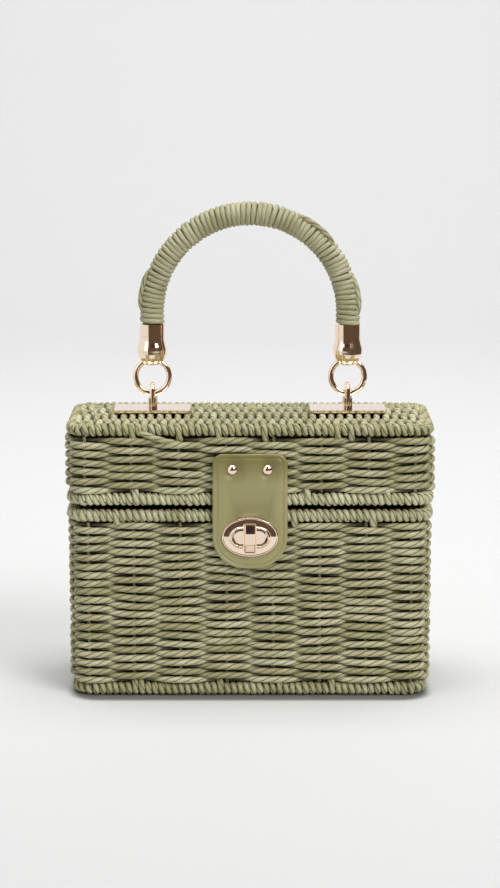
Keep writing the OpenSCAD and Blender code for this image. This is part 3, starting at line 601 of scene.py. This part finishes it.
# Panels
TOP_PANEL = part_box("lid_top_panel")
BASE_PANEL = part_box("base_panel")
TOP_WIRES = 21 * MM
TOP_PITCH = 2.6 * MM
BORDER_TOP = LID_TOP[1][2] - 0.4 * MM
TOP_BOW = TOP_PANEL[1][2] - BORDER_TOP
top_cords = panel_cords(TOP_PANEL[1][0] + 2 * MM, TOP_PANEL[1][1] - 5.5 * MM, r=5 * MM,
                        z_crest=BORDER_TOP + 0.1 * MM, swing=1.0 * MM, pitch=TOP_PITCH, wire_pitch=TOP_WIRES,
                        cord_r=1.95 * MM, face=1, bow=TOP_BOW, corner_reach=5.5 * MM)
cords("lid_top_stitches", top_cords, "lid", ["lid_top_panel"])
top_wires = panel_wires(*TOP_PANEL[1][:2], BORDER_TOP - 3.1 * MM, TOP_WIRES, 1.1 * MM, TOP_BOW)
cords("lid_top_wires", top_wires, "lid", step=STRAIGHT_STEP)
base_cords = panel_cords(BASE_PANEL[1][0] + 2 * MM, BASE_PANEL[1][1] + 2 * MM, r=8 * MM,
                         z_crest=0.05 * MM, swing=0.8 * MM, pitch=TOP_PITCH * 1.3, wire_pitch=TOP_WIRES,
                         cord_r=1.85 * MM, face=-1)
cords("base_stitches", base_cords, "box", ["base_panel"], step=2.6 * MM)
base_wires = panel_wires(*BASE_PANEL[1][:2], 3.2 * MM, TOP_WIRES, 1.4 * MM)
cords("base_wires", base_wires, "box", step=STRAIGHT_STEP)


# Hinge lashings: loops round both rear rims
def lashing(name):
    """Cord loops side by side, each round the lid's rim and the body's rim."""
    low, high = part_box(name)
    cord_r = 1.15 * MM
    loop_r = (LID_RIM[1][2] - LID_RIM[0][2]) / 2 + 0.35 * MM + cord_r
    # Middle of each rear rim's roll, as depth and height
    centres = []
    for box in (LID_RIM, BODY_RIM):
        centres.append((box[1][1] - (box[1][2] - box[0][2]) / 2, (box[1][2] + box[0][2]) / 2))
    turns = 6
    routes = []
    for i in range(turns):
        x = low[0] + (i + 0.5) * (high[0] - low[0]) / turns
        upper = np.linspace(0, math.pi, 14)
        lower = np.linspace(math.pi, TAU, 14)
        y = np.concatenate([centres[0][0] + loop_r * np.cos(upper), centres[1][0] + loop_r * np.cos(lower)])
        z = np.concatenate([centres[0][1] + loop_r * np.sin(upper), centres[1][1] + loop_r * np.sin(lower)])
        routes.append((np.column_stack([np.full(28, x), y, z]), cord_r * 1.15, True, 0.0))
    return cords(name + "_cord", routes, "box", [name])


lashing("left_hinge_lashing")
lashing("right_hinge_lashing")

# Handle: a smooth strand wound along the arch, and three tied-in ends that lie along its outside
HALF_SPAN = CORE[1][0] - (CORE[1][1] - CORE[0][1]) / 2
ARCH_Z = CORE[1][2] - (CORE[1][1] - CORE[0][1]) / 2 - HALF_SPAN
LEG = ARCH_Z - WRAP[0][2]


def handle_frame(s):
    """Middle points and outward directions at distances s along the handle, from the left end."""
    arch = math.pi * HALF_SPAN
    angle = math.pi - np.clip(s - LEG, 0, arch) / HALF_SPAN
    out = np.column_stack([np.cos(angle), np.zeros(len(s)), np.sin(angle)])
    middle = out * HALF_SPAN + [0, 0, ARCH_Z]
    middle[:, 2] -= np.clip(LEG - s, 0, None) + np.clip(s - LEG - arch, 0, None)
    return middle, out


HANDLE_LENGTH = 2 * LEG + math.pi * HALF_SPAN


def handle_winding():
    """One strand wound close round the handle from end to end, a little uneven."""
    ends = HANDLE_CORD_R * 0.3
    turns = round(HANDLE_LENGTH / HANDLE_PITCH)
    steps = 24
    t = np.arange(turns * steps + 1) / steps
    turn = np.minimum(np.floor(t).astype(int), turns - 1)
    share = t % 1
    slip = rng.normal(0, 0.1, turns + 1)
    lift = rng.normal(0, 0.1 * MM, turns + 1)
    slip_here = slip[turn] * (1 - share) + slip[turn + 1] * share
    lift_here = lift[turn] * (1 - share) + lift[turn + 1] * share
    s = np.clip(ends + (t + slip_here) / turns * (HANDLE_LENGTH - 2 * ends), ends, HANDLE_LENGTH - ends)
    middle, out = handle_frame(s)
    angle = TAU * t + 0.6
    away = out * np.cos(angle)[:, None] + np.array([0, 1, 0]) * np.sin(angle)[:, None]
    # The strand is drawn a little towards near-black all over (0.2)
    return (middle + away * (HANDLE_R - HANDLE_CORD_R + lift_here)[:, None], HANDLE_CORD_R, False, 0.2)


def handle_bundle():
    """What the winding is wound on, seen only between its turns."""
    middle, _ = handle_frame(np.linspace(0, HANDLE_LENGTH, 90))
    # Painted shade: drawn most of the way towards near-black, as it shows only between the turns
    return (middle, 4.7 * MM, False, 0.75)


def tied_end(start_deg, end_deg, side, lean_deg):
    """A cord's end along the handle's outside, between two angles above the arch's foot on one side."""
    t = np.linspace(0, 1, 24)
    s = LEG + np.radians(start_deg + (end_deg - start_deg) * t) * HALF_SPAN
    if side > 0:
        s = HANDLE_LENGTH - s
    middle, out = handle_frame(s)
    lean = math.radians(lean_deg)
    away = out * math.cos(lean) + np.array([0, -1, 0]) * math.sin(lean)
    reach = HANDLE_R + 0.2 * MM - 2.6 * MM * np.abs(2 * t - 1) ** 4
    # Drawn a little towards near-black all over, like the winding
    return (middle + away * reach[:, None], HANDLE_CORD_R * 1.1, False, 0.2)


cords("handle_winding", [handle_winding(), handle_bundle()], "handle", ["handle_wrap"],
      fold=0.06, crease_shade=0.65)
tied_ends = [tied_end(0, 24, -1, 20), tied_end(-2, 20, 1, 28), tied_end(38, 65, 1, 33)]
cords("handle_tied_ends", tied_ends, "handle")


# Closure tab: a strap end with a turned edge, a crease inside it, and the lock's slot
def tab_outline(inset):
    """Points round the tab at a distance inside its edge."""
    low, high = TAB
    # Each corner's place, the angle where its arc begins, and its radius in mm
    arcs = [(low[0], low[2], 180, 18), (high[0], low[2], 270, 18),
            (high[0], high[2], 0, 6), (low[0], high[2], 90, 6)]
    points = []
    for x, z, start, radius in arcs:
        radius = radius * MM
        cx = x + radius if x < 0 else x - radius
        cz = z + radius if z == low[2] else z - radius
        for step in range(13):
            angle = math.radians(start + 90 * step / 12)
            reach = max(radius - inset, 0.4 * MM)
            points.append((cx + reach * math.cos(angle), cz + reach * math.sin(angle)))
    return points


def lock_slot(width, height):
    """Points round the slot's outline, about the lock's middle."""
    z = (EYELET[0][2] + EYELET[1][2]) / 2
    points = []
    for side, start in ((1, -90), (-1, 90)):
        for step in range(13):
            angle = math.radians(start + 180 * step / 12)
            x = side * (width - height) / 2 + height / 2 * math.cos(angle)
            points.append((x, z + height / 2 * math.sin(angle)))
    return points


def bridge(shape, loops):
    """Faces between each loop of points and the next."""
    for a, b in zip(loops, loops[1:]):
        n = len(a)
        for i in range(n):
            shape.faces.new((a[i], a[(i + 1) % n], b[(i + 1) % n], b[i]))


def shaped(name, shape, material, smooth=True):
    """Keeps a bmesh as an object with outward faces."""
    bmesh.ops.recalc_face_normals(shape, faces=shape.faces)
    for face in shape.faces:
        face.smooth = smooth
    mesh = bpy.data.meshes.new(name)
    shape.to_mesh(mesh)
    shape.free()
    mesh.materials.append(material)
    obj = bpy.data.objects.new(name, mesh)
    bpy.context.collection.objects.link(obj)
    return obj


def closure_tab():
    """The tab's leather, as loops of points from its back edge to its face, with the slot cut out."""
    back = TAB[1][1]
    # Distance inside the edge, and height over the back, in mm
    edge = [(0.5, 0.0), (0.1, 0.3), (0.0, 0.9), (0.12, 1.4), (0.45, 1.75), (1.0, 1.95), (1.7, 2.0),
            (2.1, 1.85), (2.4, 1.5), (2.7, 1.85), (3.1, 2.1), (4.4, 2.18)]
    shape = bmesh.new()
    loops = []
    for inset, height in edge:
        loops.append([shape.verts.new((x, back - height * MM, z)) for x, z in tab_outline(inset * MM)])
    bridge(shape, loops)
    slot_front = [shape.verts.new((x, back - edge[-1][1] * MM, z)) for x, z in lock_slot(21.2 * MM, 11 * MM)]
    slot_back = [shape.verts.new((v.co.x, back, v.co.z)) for v in slot_front]
    bridge(shape, [slot_front, slot_back])
    for outer, inner in ((loops[-1], slot_front), (loops[0], slot_back)):
        rim = []
        for loop in (outer, inner):
            for i in range(len(loop)):
                pair = (loop[i], loop[(i + 1) % len(loop)])
                rim.append(shape.edges.get(pair) or shape.edges.new(pair))
        bmesh.ops.triangle_fill(shape, edges=rim, use_beauty=True)
    return placed(shaped("leather_tab", shape, LEATHER), "lid", ["closure_tab"])


def eyelet():
    """The lock's oval plate: a bevelled edge, a domed field and a raised rim round the slot."""
    back = EYELET[1][1]
    middle_z = (EYELET[0][2] + EYELET[1][2]) / 2
    half_w, half_h = EYELET[1][0], (EYELET[1][2] - EYELET[0][2]) / 2
    slot_r, slot_c = 4.7 * MM, 5.1 * MM
    angle = np.arange(120) / 120 * TAU
    c, s = np.cos(angle), np.sin(angle)
    outer = 1 / np.sqrt((c / half_w) ** 2 + (s / half_h) ** 2)
    straight = slot_r / np.maximum(np.abs(s), 1e-6)
    round_end = slot_c * np.abs(c) + np.sqrt(np.maximum(slot_r ** 2 - (slot_c * s) ** 2, 0))
    inner = np.where(straight * np.abs(c) <= slot_c, straight, round_end)
    # Share of the way in from the edge to the slot, and height over the back in mm
    profile = np.array([(0, 0), (0, 0.6), (0.02, 0.92), (0.06, 1.05), (0.12, 1.06), (0.16, 0.98),
                        (0.21, 1.05), (0.35, 1.36), (0.54, 1.68), (0.68, 1.86), (0.72, 1.8), (0.76, 1.96),
                        (0.81, 2.3), (0.87, 2.46), (0.94, 2.42), (0.985, 2.1), (1, 1.3), (1, 0)])
    # Its corners are cut twice, which rounds it
    for _ in range(2):
        cut = np.empty((2 * len(profile) - 2, 2))
        cut[0::2] = 0.75 * profile[:-1] + 0.25 * profile[1:]
        cut[1::2] = 0.25 * profile[:-1] + 0.75 * profile[1:]
        profile = np.vstack([profile[:1], cut, profile[-1:]])
    shape = bmesh.new()
    loops = []
    for share, height in profile:
        reach = outer + (inner - outer) * share
        y = back - height * MM
        loops.append([shape.verts.new((r * x, y, middle_z + r * z)) for r, x, z in zip(reach, c, s)])
    bridge(shape, loops + loops[:1])
    return placed(shaped("gold_eyelet", shape, GOLD), "lid", ["eyelet_plate"])


def knob():
    """The lock's knob: a bevelled bar on a thin flange, flat in the middle, with ends that slope back."""
    low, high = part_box("turn_knob")
    front, middle_z = low[1], (low[2] + high[2]) / 2
    back = front + 4.4 * MM
    half_w, half_l, corner = 3.9 * MM, 8.9 * MM, 1.8 * MM
    shape = bmesh.new()
    # Distance inside the flange's edge, and height over its back, in mm
    edge = ((0.4, 0.0), (0.0, 0.15), (0.0, 0.8), (0.15, 1.1), (0.5, 1.25), (0.85, 1.1), (1.0, 0.9))
    flange = []
    for inset, height in edge:
        reach = corner - inset * MM
        ring = []
        for x_side, z_side, start in ((1, 1, 0), (-1, 1, 90), (-1, -1, 180), (1, -1, 270)):
            for step in range(7):
                angle = math.radians(start + 15 * step)
                x = x_side * (half_w - corner) + reach * math.cos(angle)
                z = middle_z + z_side * (half_l - corner) + reach * math.sin(angle)
                ring.append(shape.verts.new((x, back - height * MM, z)))
        flange.append(ring)
    bridge(shape, flange)
    shape.faces.new(flange[0])
    shape.faces.new(flange[-1])
    # Place along the bar and its height there, in mm. A groove runs across under the flat
    stations = ((-7.7, 1.3), (-7.5, 1.6), (-3.7, 4.1), (-3.1, 3.7), (-3.0, 4.4), (3.0, 4.4), (3.3, 4.2),
                (7.5, 1.6), (7.7, 1.3))
    side, flat, bevel, foot = 2.9, 2.4, 0.5, 0.5
    bar = []
    for place, height in stations:
        section = [(-side, foot), (-side, height - bevel), (-flat, height), (flat, height),
                   (side, height - bevel), (side, foot)]
        bar.append([shape.verts.new((x * MM, back - h * MM, middle_z + place * MM)) for x, h in section])
    bridge(shape, bar)
    shape.faces.new(bar[0])
    shape.faces.new(bar[-1])
    shaft_r = 1.8 * MM
    shaft = [[shape.verts.new((shaft_r * math.cos(a), y, middle_z + shaft_r * math.sin(a)))
              for a in np.arange(24) / 24 * TAU] for y in (back - foot * MM, high[1])]
    bridge(shape, shaft)
    for ring in shaft:
        shape.faces.new(ring)
    return placed(shaped("gold_knob", shape, GOLD, smooth=False), "knob", ["turn_knob"])


closure_tab()
eyelet()
knob()

# Stakes that fill the corners behind the weave, so that no light comes through
WALLS = (("box", BODY_WALL, BODY_CREST, BODY_TAPER), ("lid", LID_WALL, LID_CREST, 0.0))
for body, wall, crests, taper in WALLS:
    routes = stakes(crests, wall[0][2], wall[1][2], taper, corner_stations(crests), CORNER_STAKE_DEPTH)
    cords(body + "_corner_stakes", routes, body, step=STRAIGHT_STEP)

# Finishes of the solids that show as they are
FINISHES = {"gold": GOLD, "lining": CLOTH, "steel": STEEL, "cord": CORD, "leather": LEATHER}
for part in frame["record"]["subparts"]:
    solid = frame["nodes"][part["node"]]
    solid.data.materials.clear()
    solid.data.materials.append(FINISHES[part["material_slot"]])


# Stage: a pale sweep, soft lamps and the camera
BACKDROP = "#EEEEED"


def seen_rays(tree):
    """1 for the rays that show a background: those from the camera, a mirror or a clear body."""
    path = node(tree, "ShaderNodeLightPath").outputs
    seen = path["Is Camera Ray"]
    for kind in ("Is Glossy Ray", "Is Transmission Ray"):
        seen = node(tree, "ShaderNodeMath", {0: seen, 1: path[kind]}, operation="MAXIMUM").outputs[0]
    return seen


def sweep():
    """A floor that curves up into a backdrop."""
    half, front, back, bend, top = 6.0, -5.0, 1.6, 1.0, 4.0
    profile = [(front, 0.0), (back, 0.0)]
    for a in np.linspace(0, TAU / 4, 13)[1:]:
        profile.append((back + bend * math.sin(a), bend - bend * math.cos(a)))
    profile.append((back + bend, top))
    points = [(x, y, z) for y, z in profile for x in (-half, half)]
    faces = [(2 * i, 2 * i + 1, 2 * i + 3, 2 * i + 2) for i in range(len(profile) - 1)]
    mesh = bpy.data.meshes.new("studio_sweep")
    mesh.from_pydata(points, [], faces)
    mesh.shade_smooth()
    material, tree, shader = new_material("pale_studio_paper")
    place = node(tree, "ShaderNodeTexCoord").outputs["Object"]
    axes = node(tree, "ShaderNodeSeparateXYZ", {"Vector": place}).outputs
    # Painted shade: the paper is drawn darker towards the front, against the key lamp's light there
    front_shade = node(tree, "ShaderNodeMapRange", {"Value": axes["Y"], "From Min": 0.1, "From Max": -0.4})
    colour = node(tree, "ShaderNodeMix", {"Factor": front_shade.outputs[0], 6: linear("#D2D2D2"),
                                          7: linear("#C8C8C8")}, data_type="RGBA")
    side = node(tree, "ShaderNodeMath", {0: axes["X"]}, operation="ABSOLUTE")
    # The paper looks dark close under the long edges of the base, where the bag keeps the light off it
    deep = node(tree, "ShaderNodeMath", {0: axes["Y"]}, operation="ABSOLUTE")
    past_x = node(tree, "ShaderNodeMath", {0: side.outputs[0], 1: BASE[1][0] - CORNER_R - 3 * MM},
                  operation="SUBTRACT")
    past_y = node(tree, "ShaderNodeMath", {0: deep.outputs[0], 1: BASE[1][1] - CORNER_R + 7 * MM},
                  operation="SUBTRACT")
    past = node(tree, "ShaderNodeCombineXYZ", {"X": past_x.outputs[0], "Y": past_y.outputs[0]})
    past = node(tree, "ShaderNodeVectorMath", {0: past.outputs[0], 1: (0, 0, 0)}, operation="MAXIMUM")
    reach = node(tree, "ShaderNodeVectorMath", {0: past.outputs[0]}, operation="LENGTH")
    touch = node(tree, "ShaderNodeMapRange", {"Value": reach.outputs["Value"], "From Min": CORNER_R - 1 * MM,
                                              "From Max": CORNER_R + 7 * MM, "To Min": 0.8, "To Max": 0.0},
                 interpolation_type="SMOOTHSTEP")
    shown = seen_rays(tree)
    shade = node(tree, "ShaderNodeMath", {0: touch.outputs[0], 1: shown}, operation="MULTIPLY")
    colour = node(tree, "ShaderNodeMix", {"Factor": shade.outputs[0], 6: colour.outputs[2],
                                          7: linear("#2A2818")}, data_type="RGBA")
    tree.links.new(colour.outputs[2], shader.inputs["Base Color"])
    shader.inputs["Roughness"].default_value = 0.9
    # Far to the sides and in front, past what the photograph shows, the paper fades into the backdrop
    fore = node(tree, "ShaderNodeMath", {0: axes["Y"], 1: -1.0}, operation="MULTIPLY")
    far = node(tree, "ShaderNodeMath", {0: side.outputs[0], 1: fore.outputs[0]}, operation="MAXIMUM")
    fade = node(tree, "ShaderNodeMapRange", {"Value": far.outputs[0], "From Min": 0.6, "From Max": 1.5},
                interpolation_type="SMOOTHSTEP")
    seen = node(tree, "ShaderNodeMath", {0: shown, 1: fade.outputs[0]}, operation="MULTIPLY")
    glow = node(tree, "ShaderNodeEmission", {"Color": linear(BACKDROP), "Strength": 1.0})
    mixed = node(tree, "ShaderNodeMixShader", {0: seen.outputs[0], 1: shader.outputs[0], 2: glow.outputs[0]})
    tree.links.new(mixed.outputs[0], tree.get_output_node("ALL").inputs["Surface"])
    mesh.materials.append(material)
    obj = bpy.data.objects.new("studio_sweep", mesh)
    bpy.context.collection.objects.link(obj)


def soft_lamp(name, place, target, size, power):
    """A rectangular lamp of so many watts that faces the target."""
    lamp = bpy.data.lights.new(name, "AREA")
    lamp.shape = "RECTANGLE"
    lamp.size, lamp.size_y = size
    lamp.energy = power
    obj = bpy.data.objects.new(name, lamp)
    obj.location = place
    direction = np.array(target) - np.array(place)
    obj.rotation_euler = Vector(direction).to_track_quat("-Z", "Y").to_euler()
    bpy.context.collection.objects.link(obj)


def room_light():
    """Even light from all round, and a pale backdrop where the room itself is seen."""
    world = bpy.data.worlds.new("studio_room")
    world.use_nodes = True
    tree = world.node_tree
    tree.nodes.clear()
    room = node(tree, "ShaderNodeBackground", {"Color": linear("#F4F4F2"), "Strength": 0.34})
    backdrop = node(tree, "ShaderNodeBackground", {"Color": linear(BACKDROP), "Strength": 1.0})
    shown = seen_rays(tree)
    mixed = node(tree, "ShaderNodeMixShader", {0: shown, 1: room.outputs[0], 2: backdrop.outputs[0]})
    node(tree, "ShaderNodeOutputWorld", {"Surface": mixed.outputs[0]})
    bpy.context.scene.world = world


def dark_card(name, reach, azimuths, elevations, colour):
    """A dark curved card about the bag, seen only in polished metal. Angles in degrees, 0 at the front."""
    around = np.radians(np.linspace(*azimuths, 25))
    points = []
    for a in around:
        for e in np.radians(elevations):
            flat = reach * math.cos(e)
            points.append((flat * math.sin(a), -flat * math.cos(a), 0.1 + reach * math.sin(e)))
    faces = [(2 * i, 2 * i + 1, 2 * i + 3, 2 * i + 2) for i in range(len(around) - 1)]
    mesh = bpy.data.meshes.new(name)
    mesh.from_pydata(points, [], faces)
    material, tree, shader = new_material(name + "_board")
    shader.inputs["Base Color"].default_value = linear(colour)
    shader.inputs["Roughness"].default_value = 0.9
    mesh.materials.append(material)
    obj = bpy.data.objects.new(name, mesh)
    bpy.context.collection.objects.link(obj)
    obj.visible_camera = False
    obj.visible_diffuse = False
    obj.visible_shadow = False


def photo_camera():
    """The photograph's view: a long lens a little above the bag, looking slightly down."""
    focal_px, photo_height_px = 2786.0, 888.0
    pitch_down = 0.160
    camera = bpy.data.cameras.new("photo_camera")
    camera.sensor_fit = "VERTICAL"
    camera.sensor_height = 24.0
    camera.lens = focal_px * camera.sensor_height / photo_height_px
    camera.clip_end = 50.0
    obj = bpy.data.objects.new("photo_camera", camera)
    obj.location = (0.0, -1.6, 0.3973)
    obj.rotation_euler = (math.pi / 2 - pitch_down, 0.0, 0.0)
    bpy.context.collection.objects.link(obj)
    bpy.context.scene.camera = obj


sweep()
room_light()
dark_card("front_card", 0.55, (-38, 128), (-9, 33), "#65503F")
dark_card("boom_card", 0.7, (-24, 24), (24, 66), "#3A2E26")
soft_lamp("key_right", (1.5, -2.0, 1.9), (0, 0, 0.12), (1.4, 1.4), 56)
soft_lamp("fill_left", (-2.0, -1.6, 1.4), (0, 0, 0.12), (1.4, 1.6), 5)
soft_lamp("overhead", (0.0, -0.1, 2.2), (0, 0, 0.1), (1.6, 1.2), 32)
soft_lamp("backdrop_lamp", (0.0, 0.9, 2.4), (0, 2.6, 0.9), (2.4, 0.8), 33)
photo_camera()
bpy.context.scene.view_settings.view_transform = "Standard"
